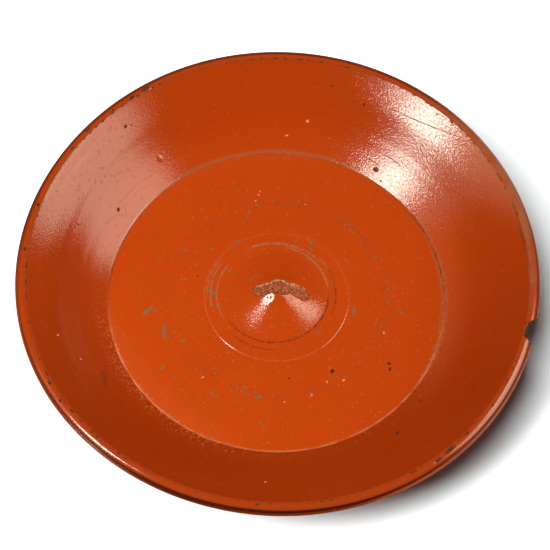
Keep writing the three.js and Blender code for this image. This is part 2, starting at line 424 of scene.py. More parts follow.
def surface_frame(bearing, radius):
    """A point of the dish's upper face at that radius, with the directions along, across and out."""
    rows = np.vstack([lip_rows[-LIP_TOP_ROWS:], inside_rows])
    i = int(np.argmin(np.abs(rows[:, 0] - radius)))
    step = rows[min(i + 1, len(rows) - 1)] - rows[max(i - 1, 0)]
    step = step / np.linalg.norm(step)
    angle = math.radians(bearing)
    outward = Vector((math.cos(angle), math.sin(angle), 0))
    along = Vector((-math.sin(angle), math.cos(angle), 0))
    across = outward * float(step[0]) + Vector((0, 0, float(step[1])))
    out = along.cross(across)
    if out.z < 0:
        out.negate()
    return from_polar(bearing, float(rows[i, 0]), float(rows[i, 1])), along, across, out


def add_flake(work, bearing, radius, half_length, half_width, depth):
    """A shallow lump of clay to take away, rough all round."""
    place, along, across, out = surface_frame(bearing, radius)
    thickness = max(depth * 1.6, half_width * 0.8)
    made = bmesh.ops.create_icosphere(work, subdivisions=3, radius=1.0)
    for vert in made["verts"]:
        swell = 1 + 0.28 * noise.noise(vert.co * 1.7 + Vector((bearing, radius * 900, 0)))
        ball = vert.co * swell
        spread = along * ball.x * half_length + across * ball.y * half_width
        vert.co = place + spread + out * (ball.z * thickness + thickness - depth)


cutter_work = chip_cutter()
for row in LIP_FLAKES + SURFACE_PITS:
    add_flake(cutter_work, *row)
draw = np.random.RandomState(7)
taken = [row[0] for row in LIP_FLAKES]
for middle, half_width, count in ARRIS_WEAR:
    for _ in range(count):
        bearing = middle + half_width * draw.uniform(-1, 1)
        length = draw.uniform(*NICK_LENGTHS)
        if LONG_NICKS_FROM < bearing < LONG_NICKS_TO:
            length *= LONG_NICK_FACTOR
        clear = all(abs(bearing - other) > NICK_SPACING for other in taken)
        if clear and not CHIP_FROM < bearing < CHIP_TO:
            taken.append(bearing)
            depth = draw.uniform(*NICK_DEPTHS)
            on_near_side = NEAR_WEAR_FROM < bearing % 360 < NEAR_WEAR_TO
            beside = ARRIS_RADIUS + NEAR_WEAR_SHIFT * on_near_side
            add_flake(cutter_work, bearing, beside, length, NICK_WIDTH, depth)
for vert in cutter_work.verts:
    vert.co = strayed(np.array(vert.co))
bmesh.ops.recalc_face_normals(cutter_work, faces=cutter_work.faces)
cutter_mesh = bpy.data.meshes.new("broken_away")
cutter_work.to_mesh(cutter_mesh)
cutter_work.free()
cutter = bpy.data.objects.new("broken_away", cutter_mesh)
bpy.context.scene.collection.objects.link(cutter)


class Flow:
    """A value on its way through a material's nodes, so that shader maths reads as Python."""

    def __init__(self, tree, socket=None):
        self.tree = tree
        self.socket = socket

    def add(self, kind, settings=None, sockets=None, output=0):
        node = self.tree.nodes.new(kind)
        for name, value in (settings or {}).items():
            setattr(node, name, value)
        for name, value in (sockets or {}).items():
            if isinstance(value, Flow):
                self.tree.links.new(value.socket, node.inputs[name])
            else:
                node.inputs[name].default_value = value
        return Flow(self.tree, node.outputs[output])

    def also(self, output):
        return Flow(self.tree, self.socket.node.outputs[output])

    def maths(self, operation, first, second=0.0):
        return self.add("ShaderNodeMath", {"operation": operation}, {0: first, 1: second})

    def __add__(self, other):
        return self.maths("ADD", self, other)

    def __radd__(self, other):
        return self.maths("ADD", other, self)

    def __sub__(self, other):
        return self.maths("SUBTRACT", self, other)

    def __rsub__(self, other):
        return self.maths("SUBTRACT", other, self)

    def __mul__(self, other):
        return self.maths("MULTIPLY", self, other)

    def __rmul__(self, other):
        return self.maths("MULTIPLY", other, self)

    def __truediv__(self, other):
        return self.maths("DIVIDE", self, other)

    def __rtruediv__(self, other):
        return self.maths("DIVIDE", other, self)

    def __pow__(self, other):
        return self.maths("POWER", self, other)

    def __abs__(self):
        return self.maths("ABSOLUTE", self)

    def larger(self, other):
        return self.maths("MAXIMUM", self, other)

    def smaller(self, other):
        return self.maths("MINIMUM", self, other)

    def rise(self, low, high):
        """0 at low and 1 at high, eased at both ends; it falls where low is the larger."""
        sockets = {"Value": self, "From Min": low, "From Max": high}
        return self.add("ShaderNodeMapRange", {"interpolation_type": "SMOOTHSTEP"}, sockets)

    def tint(self, first, second):
        """This value carries the first colour towards the second."""
        return self.add("ShaderNodeMix", {"data_type": "RGBA"}, {0: self, 6: first, 7: second}, 2)

    def parts(self):
        node = self.add("ShaderNodeSeparateXYZ", None, {0: self}).socket.node
        return [Flow(self.tree, output) for output in node.outputs]

    def bundle(self, x, y, z):
        return self.add("ShaderNodeCombineXYZ", None, {0: x, 1: y, 2: z})

    def vector(self, operation, other, output=0):
        return self.add("ShaderNodeVectorMath", {"operation": operation}, {0: self, 1: other}, output)

    def grain(self, size, detail=2.0, roughness=0.5):
        """Soft noise from 0 to 1 whose lumps are about that many metres across."""
        sockets = {"Vector": self, "Scale": 1 / size, "Detail": detail, "Roughness": roughness}
        return self.add("ShaderNodeTexNoise", None, sockets)


def shade(red, green, blue):
    """A colour as seen on a screen, from 0 to 255, as the light that a material needs."""
    values = np.array([red, green, blue]) / 255
    light = np.where(values <= 0.04045, values / 12.92, ((values + 0.055) / 1.055) ** 2.4)
    return (*light.tolist(), 1.0)


def new_finish(name):
    """A material with one Principled shader, and the flow that its nodes start from."""
    finish = bpy.data.materials.new(name)
    finish.use_nodes = True
    shader = finish.node_tree.nodes["Principled BSDF"]
    start = Flow(finish.node_tree)
    return finish, shader, start


def wire(start, shader, **values):
    """Links or sets the shader's sockets, named with underscores for spaces."""
    for name, value in values.items():
        socket = shader.inputs[name.replace("_", " ")]
        if isinstance(value, Flow):
            start.tree.links.new(value.socket, socket)
        else:
            socket.default_value = value


def bumped(height, distance):
    """The surface's direction after that relief, the distance being what a height of 1 stands for."""
    return height.add("ShaderNodeBump", None, {"Height": height, "Distance": distance})


SLIP_RED = shade(190, 66, 9)
SLIP_WALL_LOW = shade(183, 63, 7)
SLIP_WALL_TOP = shade(171, 57, 3)
# Painted shade for the near side of the wall
SLIP_NEAR_SHADE = shade(156, 49, 1)
SLIP_DEEP = shade(168, 54, 3)
LIP_LIGHT = shade(171, 59, 12)
# A brown for rings on the wall by the lip, and painted shade on the far edge and on the ridge at the near
# side
LIP_BROWN_AND_SHADE = shade(96, 36, 12)
# Painted shade and light under the bead: dark at the near side, a red groove and a pale ridge at the sides
BEAD_UNDER_SHADE = shade(62, 22, 8)
GROOVE_SHADE_RED = shade(104, 37, 12)
RIDGE_PAINTED_LIGHT = shade(204, 102, 68)
WORN_CLAY = shade(142, 104, 76)
WORN_DARK = shade(96, 70, 50)
SMALL_SPECK = shade(170, 98, 62)
DARK_DIRT = shade(78, 50, 32)
GREY_SCUFF = shade(152, 108, 82)
# A pale colour for pale marks, and for painted highlights on the turned ring and along the angle
PALE_SCUFF_AND_HIGHLIGHT = shade(228, 146, 112)
FROST_TAN = shade(230, 150, 98)
# Painted light: a sheen on the wall's foot at the right and a lighter floor at the lower left
ANGLE_PAINTED_LIGHT = shade(214, 92, 48)
# Painted sheen on the wall below the lip at the upper right
LIP_SHEEN_PINK = shade(212, 130, 100)
PATCH_BROWN = shade(166, 98, 68)
PATCH_DARK = shade(116, 62, 36)
# Painted highlight inside the upper edge of the worn patch
PATCH_HIGHLIGHT_PALE = shade(240, 184, 154)
ANGLE_BROWN = shade(118, 50, 20)
GLOSS_ROUGHNESS = 0.13

# Marks read off the photograph: bearing, distance from the axis, length, width, turn from the tangent
FLOOR_MARKS = [
    (161, 0.0610, 0.0028, 0.0012, -40), (-172, 0.0625, 0.0072, 0.0021, -55),
    (-172, 0.0586, 0.0028, 0.0010, -15), (-160, 0.0570, 0.0070, 0.0020, -25),
    (-156, 0.0575, 0.0034, 0.0010, 50), (177, 0.0313, 0.0060, 0.0016, 50),
    (-168, 0.0288, 0.0025, 0.0018, -80), (124, 0.0357, 0.0047, 0.0010, 15),
    (142, 0.0411, 0.0014, 0.0012, 0), (151, 0.0512, 0.0021, 0.0015, -15),
    (169, 0.0455, 0.0020, 0.0009, -80), (157, 0.0430, 0.0013, 0.0011, 0),
    (-151, 0.0509, 0.0030, 0.0013, -75), (108, 0.0479, 0.0050, 0.0008, 65),
    (113, 0.0444, 0.0013, 0.0011, 0), (150, 0.0265, 0.0030, 0.0014, -15),
    (-146, 0.0325, 0.0012, 0.0010, 0), (-117, 0.0322, 0.0024, 0.0011, 25),
    (-144, 0.0664, 0.0030, 0.0012, -80), (-137, 0.0650, 0.0022, 0.0009, -60),
    (-119, 0.0602, 0.0038, 0.0012, -35), (-98, 0.0543, 0.0034, 0.0017, 10),
    (-95, 0.0676, 0.0021, 0.0015, 55), (-106, 0.0512, 0.0024, 0.0010, 15),
    (-126, 0.0484, 0.0020, 0.0009, 35), (-73, 0.0300, 0.0017, 0.0010, 15),
    (-23, 0.0576, 0.0015, 0.0012, 0), (-41, 0.0683, 0.0015, 0.0011, -25),
    (-40, 0.0531, 0.0015, 0.0010, -15), (81, 0.0654, 0.0021, 0.0010, 90),
    (70, 0.0698, 0.0030, 0.0011, 60), (87, 0.0791, 0.0018, 0.0009, 5),
    (111, 0.0376, 0.0013, 0.0011, 0), (93, 0.0538, 0.0012, 0.0010, 0),
    (87, 0.0505, 0.0014, 0.0009, 25), (109, 0.0628, 0.0011, 0.0009, 0),
    (47, 0.0520, 0.0026, 0.0014, -5), (51, 0.0527, 0.0020, 0.0012, 5),
    (31, 0.0397, 0.0030, 0.0010, 10), (17, 0.0416, 0.0017, 0.0008, -25),
    (-10, 0.0381, 0.0058, 0.0013, 0), (-6, 0.0600, 0.0034, 0.0012, 85),
    (26, 0.0533, 0.0024, 0.0009, -35), (173, 0.0748, 0.0018, 0.0008, -15),
    (147, 0.0140, 0.0050, 0.0008, -9), (132, 0.0120, 0.0016, 0.0010, 0),
    (32, 0.0190, 0.0020, 0.0009, -30), (61, 0.0350, 0.0052, 0.0009, 75),
    (55, 0.0264, 0.0042, 0.0010, -50), (74, 0.0325, 0.0028, 0.0010, 85),
    (59, 0.0312, 0.0040, 0.0010, -20), (-42, 0.0280, 0.0017, 0.0013, -25),
    (-76, 0.0167, 0.0017, 0.0012, 0), (-94, 0.0174, 0.0015, 0.0011, 0),
]
DARK_MARKS = [
    (-55, 0.0480, 0.0026, 0.0021, 20), (56.5, 0.0862, 0.0029, 0.0025, 0),
    (133.3, 0.1118, 0.0024, 0.0012, 30), (131.8, 0.1107, 0.0012, 0.0010, 0),
    (-52, 0.0940, 0.0026, 0.0012, 40), (67.5, 0.1073, 0.0020, 0.0009, 75),
    (150.8, 0.0903, 0.0024, 0.0011, 20), (76.9, 0.1106, 0.0014, 0.0010, 0),
    (49.5, 0.1181, 0.0013, 0.0011, 0), (52.9, 0.0835, 0.0012, 0.0010, 0),
    (162.8, 0.1020, 0.0012, 0.0010, 0), (-38.9, 0.0888, 0.0020, 0.0010, 80),
    (-32, 0.0643, 0.0024, 0.0015, -60), (-34, 0.0663, 0.0022, 0.0013, 15),
    (-81, 0.0444, 0.0012, 0.0010, 0), (165, 0.0397, 0.0011, 0.0010, 0),
    (-120, 0.0056, 0.0013, 0.0009, 45), (-134, 0.0064, 0.0008, 0.0006, 0),
]
PALE_MARKS = [
    (82, 0.0955, 0.0016, 0.0012, 0), (88, 0.0890, 0.0014, 0.0010, 0),
    (-91.7, 0.1054, 0.0017, 0.0013, 0), (198, 0.1080, 0.0016, 0.0012, 0),
    (205, 0.1010, 0.0014, 0.0010, 0), (-128, 0.0559, 0.0015, 0.0009, 65),
    (-19, 0.0550, 0.0012, 0.0011, 0), (-53, 0.0549, 0.0014, 0.0012, 0),
    (-61, 0.0513, 0.0010, 0.0009, 0), (-71, 0.0549, 0.0012, 0.0011, 0),
    (-85, 0.0562, 0.0011, 0.0010, 0), (100, 0.0578, 0.0012, 0.0009, 25),
    (102, 0.0547, 0.0011, 0.0009, 30), (99, 0.0600, 0.0010, 0.0008, 0),
    (76, 0.0536, 0.0011, 0.0009, 15),
]
# Long fine scratches: two ends, each a bearing and a distance from the axis
SCRATCHES = [
    ((61.2, 0.1099), (39.8, 0.1181)), ((56.3, 0.0936), (48.8, 0.0933)), ((62.0, 0.0889), (55.8, 0.0885)),
    ((150.6, 0.0920), (141, 0.0911)), ((141, 0.0911), (131.1, 0.0899)), ((157.5, 0.0910), (146.2, 0.0891)),
    ((55.3, 0.0670), (51.5, 0.0540)),
]
SCRATCH_WIDTH = 0.00050
# Worn arcs round the centre: centre, radius, middle bearing, reach to each side, half width
DARK_ARCS = [
    ((-0.0012, 0.0012), 0.0262, -40, 45, 0.00052), ((-0.0012, 0.0012), 0.0262, -115, 30, 0.00048),
    ((-0.0005, 0.0012), 0.0292, 6, 26, 0.00040), ((-0.0012, 0.0012), 0.0300, -108, 20, 0.00034),
]
GREY_ARCS = [
    ((-0.0012, 0.0016), 0.0262, 40, 38, 0.00044), ((-0.0012, 0.0018), 0.0276, 90, 26, 0.00062),
    ((-0.0020, 0.0010), 0.0300, 172, 26, 0.00036), ((-0.0015, 0.0010), 0.0322, 164, 18, 0.00036),
    ((-0.0020, 0.0010), 0.0270, 178, 34, 0.00036), ((-0.0010, 0.0005), 0.0288, 58, 16, 0.00036),
    ((-0.0005, 0.0012), 0.0292, 28, 14, 0.00044),
]
ARC_FADE = 8
# A dark smudge on the lower left wall, as a mark
SMUDGE = [(-148, 0.0945, 0.0105, 0.0032, -22)]
# A pimple in the slip on the upper left wall: bearing and distance from the axis
PIMPLE = (129.4, 0.0935)
PIMPLE_HEIGHT = 0.0003
# Middle of the band that the foot of a dish stacked inside has rubbed
STACK_WEAR_RADIUS = 0.0528
RAGGEDNESS = 0.0013
# Relief of the slip: dabs of the hand, its grain, streaks of the wheel, small pocks and worn arcs
DAB_HEIGHT = 0.000090
GRAIN_HEIGHT = 0.000070
STREAK_HEIGHT = 0.000016
POCK_DEPTH = 0.00002
ARC_DEPTH = 0.00004


def nearest_mark(flat, marks):
    """Under 1 inside any of the marks, each an oval seen from above and drawn about its two foci."""
    nearest = None
    for bearing, radius, length, width, turn in marks:
        middle = from_polar(bearing, radius)
        reach = from_polar(bearing + 90 + turn, math.sqrt(max(length**2 - width**2, 0)) / 2)
        first = flat.vector("DISTANCE", middle - reach, "Value")
        both = first + flat.vector("DISTANCE", middle + reach, "Value")
        outside = (both * both - 4 * reach.length_squared) / width**2
        nearest = nearest.smaller(outside) if nearest else outside
    return nearest ** 0.5


def scratch_marks(scratches):
    """Each scratch as a long thin mark between its ends."""
    marks = []
    for first, second in scratches:
        start = from_polar(*first)
        end = from_polar(*second)
        middle = (start + end) / 2
        run = end - start
        bearing = math.degrees(math.atan2(middle.y, middle.x))
        turn = math.degrees(math.atan2(run.y, run.x)) - bearing - 90
        marks.append((bearing, middle.length, run.length, SCRATCH_WIDTH, turn))
    return marks


def worn_arcs(flat, arcs):
    """1 on the arcs and 0 away from them, fading at their ends."""
    strongest = None
    for centre, radius, middle, reach, half_width in arcs:
        offset = flat.vector("SUBTRACT", (*centre, 0))
        distance = offset.vector("LENGTH", (0, 0, 0), "Value")
        line = abs(distance - radius).rise(half_width * 1.5, half_width * 0.6)
        heading = offset.vector("DOT_PRODUCT", from_polar(middle, 1), "Value") / distance
        end = math.cos(math.radians(reach + ARC_FADE))
        arc = line * heading.rise(end, math.cos(math.radians(reach - ARC_FADE)))
        strongest = strongest.larger(arc) if strongest else arc
    return strongest


def specks(flat, spacing, share, size):
    """Scattered specks, one to some of the cells of that spacing."""
    sockets = {"Vector": flat, "Scale": 1 / spacing}
    cell = flat.add("ShaderNodeTexVoronoi", {"voronoi_dimensions": "2D"}, sockets)
    chance, breadth, _ = cell.also("Color").parts()
    nearness = cell / (breadth * (size / spacing) + 0.02)
    return nearness.rise(1.0, 0.6) * chance.rise(1 - share - 0.001, 1 - share)


def unstrayed(radius, x, y):
    """The radius before the rim warped, so that bands stay on their mouldings."""
    cosine, sine = x / radius, y / radius
    turn_cosine, turn_sine = cosine, sine
    outward = 0.0
    # Each wave in the list has one more to the turn than the one before
    for _, a, b in RIM_WARP:
        outward = turn_cosine * a + turn_sine * b + outward
        next_cosine = turn_cosine * cosine - turn_sine * sine
        turn_sine = turn_sine * cosine + turn_cosine * sine
        turn_cosine = next_cosine
    return radius - outward * ((radius - FLOOR_RADIUS) / (RIM_RADIUS - FLOOR_RADIUS)).larger(0.0)


def matt_over(start, shader, share, **values):
    """Lays a matt, worn surface over the shader by that share."""
    matt = start.tree.nodes.new("ShaderNodeBsdfPrincipled")
    wire(start, matt, Roughness=0.8, Specular_IOR_Level=0.0, **values)
    mixed = start.tree.nodes.new("ShaderNodeMixShader")
    start.tree.links.new(share.socket, mixed.inputs["Fac"])
    start.tree.links.new(shader.outputs[0], mixed.inputs[1])
    start.tree.links.new(matt.outputs[0], mixed.inputs[2])
    start.tree.links.new(mixed.outputs[0], start.tree.nodes["Material Output"].inputs["Surface"])


def dish_zones(start):
    """Where a point lies on the dish, with the noises and marks that several layers of the finish share."""
    place = start.add("ShaderNodeTexCoord", None, None, "Object")
    x, y, z = place.parts()
    plain_radius = (x * x + y * y) ** 0.5
    radius = unstrayed(plain_radius, x, y)
    unwarped = radius / plain_radius
    flat = place.bundle(x * unwarped, y * unwarped, 0)
    wander = place.add("ShaderNodeTexNoise", None, {"Vector": place, "Scale": 900, "Detail": 2.0}, "Color")
    ragged = wander.vector("SUBTRACT", (0.5, 0.5, 0.5)).vector("MULTIPLY", (RAGGEDNESS, RAGGEDNESS, 0))
    rough_flat = flat.vector("ADD", ragged)
    turning = place.bundle(radius * 1300, x / radius * 3, y / radius * 3)
    streaks = turning.add("ShaderNodeTexNoise", None, {"Vector": turning, "Scale": 1.0, "Detail": 3.0})
    upward = place.also("Normal").parts()[2].rise(-0.05, 0.1)
    on_wall = radius.rise(FLOOR_RADIUS - 0.0004, FLOOR_RADIUS + 0.0008)
    on_lip = radius.rise(ARRIS_RADIUS, ARRIS_RADIUS + 0.0006) * z.rise(LIP_TOP - 0.0028, LIP_TOP - 0.0013)
    from_arris = abs(radius - y.rise(0.0, -0.06) * NEAR_WEAR_SHIFT - ARRIS_RADIUS)
    fray = place.grain(0.0007, 3.0, 0.65)
    broken = place.grain(0.0016, 4.0, 0.65).rise(0.36, 0.54)
    return SimpleNamespace(
        place=place, x=x, y=y, z=z, radius=radius, flat=flat, rough_flat=rough_flat, streaks=streaks,
        upward=upward, on_wall=on_wall, on_lip=on_lip, from_arris=from_arris, fray=fray, broken=broken,
        fine=place.grain(0.0007, 1.0),
        patchy=place.grain(0.012, 2.0).rise(0.35, 0.6),
        ragged_edge=(fray - 0.5) * 1.3,
        arris_height=z.rise(LIP_TOP - 0.0033, LIP_TOP - 0.0018),
        near_side=y.rise(0.02, -0.04),
        lower_left=(x * -0.743 - y * 0.669).rise(0.058, 0.076),
        stack_wear=abs(radius - STACK_WEAR_RADIUS).rise(0.0042, 0.0008) * upward,
        pocks=specks(rough_flat, 0.0022, 0.16, 0.0005) * upward * (1 - on_wall * 0.6),
        dark_arc=worn_arcs(rough_flat, DARK_ARCS) * (0.35 + broken * 0.65) * upward,
        grey_arc=worn_arcs(rough_flat, GREY_ARCS) * (0.25 + broken * 0.75) * upward,
    )


def fired_slip(here):
    """The slip's colour: bright on the floor and deeper up the wall, with painted shade on the near side.
    """
    wall = here.radius.rise(FLOOR_RADIUS - 0.004, ARRIS_RADIUS).tint(SLIP_WALL_LOW, SLIP_WALL_TOP)
    # Painted shade: the wall darkens towards the near side
    wall = (here.y - here.x * 0.22).rise(0.02, -0.085).tint(wall, SLIP_NEAR_SHADE)
    clouds = here.place.grain(0.045, 3.0).rise(0.3, 0.72)
    mottled = clouds * 0.16 + here.streaks.rise(0.5, 0.8) * 0.12 + here.fine.rise(0.55, 0.8) * 0.10
    colour = mottled.tint(here.on_wall.tint(SLIP_RED, wall), SLIP_DEEP)
    return here.on_lip.tint(colour, LIP_LIGHT)


def rubbed_lip(here, colour):
    """Lip and arris: worn dashes, brown rings and a grey cast at the right; painted sheen on the wall
    below.
    """
    x, y, z, radius = here.x, here.y, here.z, here.radius
    right_lip = here.on_lip * x.rise(0.050, 0.108) * y.rise(-0.03, 0.01)
    line = here.from_arris.rise(0.0009, 0.0002) * here.arris_height * here.fray.rise(0.3, 0.6)
    colour = (line * (0.35 + right_lip * 0.4 - here.near_side * 0.15)).tint(colour, WORN_DARK)
    rings = here.streaks.rise(0.58, 0.68) * radius.rise(0.108, 0.116)
    rings = rings * x.rise(0.04, 0.11) * z.rise(0.034, 0.038)
    colour = (rings * 0.35).tint(colour, LIP_BROWN_AND_SHADE)
    colour = (right_lip * (0.2 + here.patchy * 0.3)).tint(colour, GREY_SCUFF)
    # Painted sheen: a pale pink veil on the upper right wall
    painted_light = (x * 0.80 + y * 0.60).rise(0.100, 0.122) * y.rise(0.012, 0.050) * here.on_wall * here.upward
    return (painted_light * (1 - here.on_lip) * 0.34).tint(colour, LIP_SHEEN_PINK)


def rubbed_angle(here, colour):
    """The angle of floor and wall: dust, painted light, and a line: painted highlight near, brown far."""
    x, y, z, radius = here.x, here.y, here.z, here.radius
    from_angle = abs(radius - FLOOR_RADIUS)
    low = z.rise(FLOOR_LEVEL + 0.0055, FLOOR_LEVEL + 0.0025) * here.upward
    far_dust = radius.rise(FLOOR_RADIUS - 0.0006, FLOOR_RADIUS + 0.0002) * y.rise(0.03, 0.07) * low
    far_dust = far_dust * radius.rise(FLOOR_RADIUS + 0.0025, FLOOR_RADIUS + 0.0005)
    right_dust = from_angle.rise(0.0024, 0.0008) * x.rise(0.066, 0.079) * low
    right_dust = right_dust * here.place.grain(0.0016, 3.0, 0.65).rise(0.40, 0.58)
    colour = (far_dust * 0.35).larger(right_dust * 0.5).tint(colour, GREY_SCUFF)
    # Painted light: a sheen on the wall's foot at the right and on the floor at the lower left
    painted_light = radius.rise(0.060, FLOOR_RADIUS) * (1 - here.on_wall) * here.lower_left
    painted_light = painted_light.larger(here.on_wall * radius.rise(0.097, 0.083) * x.rise(0.060, 0.084) * here.upward)
    colour = (painted_light * 0.2).tint(colour, ANGLE_PAINTED_LIGHT)
    # Painted highlight: the angle's line is pale on the near side, most at the lower left, and brown on the
    # far side
    line = from_angle.rise(0.0008, 0.0002) * z.rise(FLOOR_LEVEL + 0.0035, FLOOR_LEVEL + 0.002) * here.upward
    line = line * (0.3 + here.place.grain(0.007, 3.0).rise(0.35, 0.6) * 0.7)
    colour = (line * here.near_side * (0.42 + here.lower_left * 0.25)).tint(colour, PALE_SCUFF_AND_HIGHLIGHT)
    return (line * (1 - here.near_side) * (0.75 - y.rise(0.04, 0.07) * 0.4)).tint(colour, ANGLE_BROWN)


def light_wear(here, colour):
    """What use has left on the gloss without going through it: frosting, a smudge, specks and dust."""
    # Painted highlight: a broken pale line on the inner flank of the turned ring
    ring_highlight = abs(here.radius - RING_RADIUS + 0.0004).rise(0.0006, 0.0001) * here.broken
    colour = (ring_highlight * 0.13).tint(colour, PALE_SCUFF_AND_HIGHLIGHT)
    frosted = specks(here.rough_flat, 0.0007, 0.40, 0.0005) * here.upward
    frosted = frosted * (here.near_side * 0.25 + here.lower_left * 0.75)
    frosted = frosted * here.radius.rise(FLOOR_RADIUS - 0.0025, FLOOR_RADIUS)
    frosted = frosted * here.radius.rise(FLOOR_RADIUS + 0.0100, FLOOR_RADIUS + 0.0003)
    colour = (frosted * 0.45).tint(colour, FROST_TAN)
    smudge = nearest_mark(here.flat, SMUDGE).rise(1.2, 0.2) * here.upward
    colour = (smudge * 0.4).tint(colour, DARK_DIRT)
    colour = (here.pocks * 0.8).tint(colour, SMALL_SPECK)
    dust = specks(here.rough_flat, 0.0012, 0.55, 0.0008) * here.stack_wear * (0.15 + here.patchy * 0.85)
    colour = (dust * 0.55).tint(colour, WORN_DARK)
    pale = (nearest_mark(here.rough_flat, PALE_MARKS) + here.ragged_edge * 0.5).rise(1.0, 0.7) * here.upward
    return pale.tint(colour, PALE_SCUFF_AND_HIGHLIGHT)


def worn_through(here, colour):
    """Marks that go through the gloss, with the share of the surface that they leave matt."""
    worn = (nearest_mark(here.rough_flat, FLOOR_MARKS) + here.ragged_edge * 1.2).rise(1.15, 0.9)
    worn = worn * here.fray.rise(0.34, 0.44) * here.upward
    worn = worn.larger(specks(here.rough_flat, 0.0034, 0.22, 0.0010) * here.stack_wear)
    dark = (nearest_mark(here.rough_flat, DARK_MARKS) + here.ragged_edge * 0.6).rise(1.0, 0.8) * here.upward
    scratched = nearest_mark(here.flat, scratch_marks(SCRATCHES)).rise(1.0, 0.6) * here.upward
    scratched = scratched * (0.4 + here.on_wall * here.x.rise(-0.02, 0.02) * 0.5)
    pinholes = specks(here.rough_flat, 0.0015, 0.24, 0.0006) * (1 - here.on_lip)
    colour = worn.tint(colour, here.fray.rise(0.35, 0.6).tint(WORN_DARK, WORN_CLAY))
    colour = (here.grey_arc * 0.85).tint(colour, GREY_SCUFF)
    colour = (here.dark_arc * 0.72).tint(colour, DARK_DIRT)
    colour = dark.larger(scratched).tint(colour, DARK_DIRT)
    matt = worn.larger(dark).larger(scratched).larger(pinholes * 0.6)
    return colour, matt.larger(here.grey_arc).larger(here.dark_arc)


def worn_patch(here, colour, matt):
    """The patch on the kick: bare mottled clay, some slip left, a dirty edge and a painted highlight on its
    upper side.
    """
    patch = nearest_mark(here.rough_flat, PATCH_LOBES) + here.ragged_edge * 0.30
    patch = patch + (here.place.grain(0.0030) - 0.5) * 0.7
    inside = patch.rise(1.06, 0.96) * here.upward
    edge = abs(patch - 0.98).rise(0.16, 0.04) * here.upward
    edge = edge * here.place.grain(0.0026, 3.0, 0.6).rise(0.40, 0.58)
    # Painted highlight: a pale line inside the patch's upper edge
    painted_glint = abs(patch - 0.72).rise(0.24, 0.08) * here.y.rise(0.0010, 0.0026) * here.broken * here.upward
    mottle = here.place.grain(0.0012, 3.0, 0.6)
    slip_left = mottle.rise(0.54, 0.60)
    bare = mottle.rise(0.40, 0.52).tint(PATCH_DARK, PATCH_BROWN)
    colour = (inside * (1 - slip_left)).tint(colour, bare)
    colour = (edge * 0.9).tint(colour, DARK_DIRT)
    colour = (painted_glint * 0.8).tint(colour, PATCH_HIGHLIGHT_PALE)
    return colour, matt.larger(inside * (0.9 - slip_left * 0.7)).larger(edge * 0.6)


def lip_edges(here, colour, matt):
    """Rubbed dashes on the arris, painted shade on the far edge, and painted shade and light under the
    bead.
    """
    x, y, z, radius = here.x, here.y, here.z, here.radius
    dashes = here.place.grain(0.0030, 3.0, 0.6).rise(0.54, 0.62)
    scuffs = here.place.grain(0.0026, 4.0, 0.65).rise(0.62, 0.70) * here.on_lip
    rubbed = here.from_arris.rise(0.0006, 0.0002) * here.arris_height * dashes
    rubbed = rubbed.larger(scuffs * 0.8)
    colour = (rubbed * 0.9).tint(colour, DARK_DIRT)
    # Painted shade: the far edge of the lip turned brown and matt
    far_edge_shade = (radius + y.rise(0.05, 0.10) * 0.0008).rise(LIP_CREST[0] + 0.0003, BEAD_HIGH[0] + 0.0006)
    far_edge_shade = far_edge_shade * y.rise(-0.04, 0.04) * x.rise(0.11, 0.07) * 0.85
    colour = far_edge_shade.tint(colour, LIP_BROWN_AND_SHADE)
    # Painted shade and light under the bead: darkest at the near side, paler at the sides, palest on the
    # ridge
    shaded_under_bead = radius.rise(BEAD_LOW[0] - 0.0003, BEAD_LOW[0] + 0.0002)
    shaded_under_bead = shaded_under_bead * z.rise(RIDGE[1] - 0.0012, RIDGE[1] - 0.0002)
    ridge = z.rise(GROOVE[1] - 0.0003, GROOVE[1] - 0.0007)
    at_side = abs(x).larger(x + 0.012).rise(0.040, 0.095)
    at_side = at_side * y.rise(0.03, -0.03).larger(x.rise(0.07, 0.11))
    under_bead_shading = ridge.tint(at_side.tint(BEAD_UNDER_SHADE, GROOVE_SHADE_RED), at_side.tint(LIP_BROWN_AND_SHADE, RIDGE_PAINTED_LIGHT))
    colour = shaded_under_bead.tint(colour, under_bead_shading)
    matt = matt.larger(rubbed).larger(shaded_under_bead * (0.9 - ridge * 0.3)).larger(far_edge_shade)
    return colour, matt.smaller(1.0)


def hand_texture(here):
    """The slip's fine relief: dabs of the hand, streaks of the wheel, a pimple and the hollows of wear."""
    dabbed = here.place.bundle(here.radius * 1050, here.x * 560, here.y * 560)
    sockets = {"Vector": dabbed, "Scale": 1.0, "Detail": 3.0, "Roughness": 0.6}
    dabs = dabbed.add("ShaderNodeTexNoise", None, sockets)
    level_floor = here.radius.rise(KICK_RADIUS - 0.002, KICK_RADIUS + 0.003) * (1 - here.on_wall)
    calm = (level_floor * 0.65).larger(here.on_lip * 0.75)
    calm = calm.larger(here.x.rise(0.0, -0.06) * here.on_wall * 0.35)
    height = (dabs * DAB_HEIGHT + here.fine * GRAIN_HEIGHT) * (1 - calm) + here.streaks * STREAK_HEIGHT
    pimple = here.flat.vector("DISTANCE", from_polar(*PIMPLE), "Value").rise(0.0018, 0.0002)
    hollows = here.pocks * POCK_DEPTH + (here.dark_arc + here.grey_arc) * ARC_DEPTH
    return bumped(height + pimple * PIMPLE_HEIGHT - hollows, 1.0)


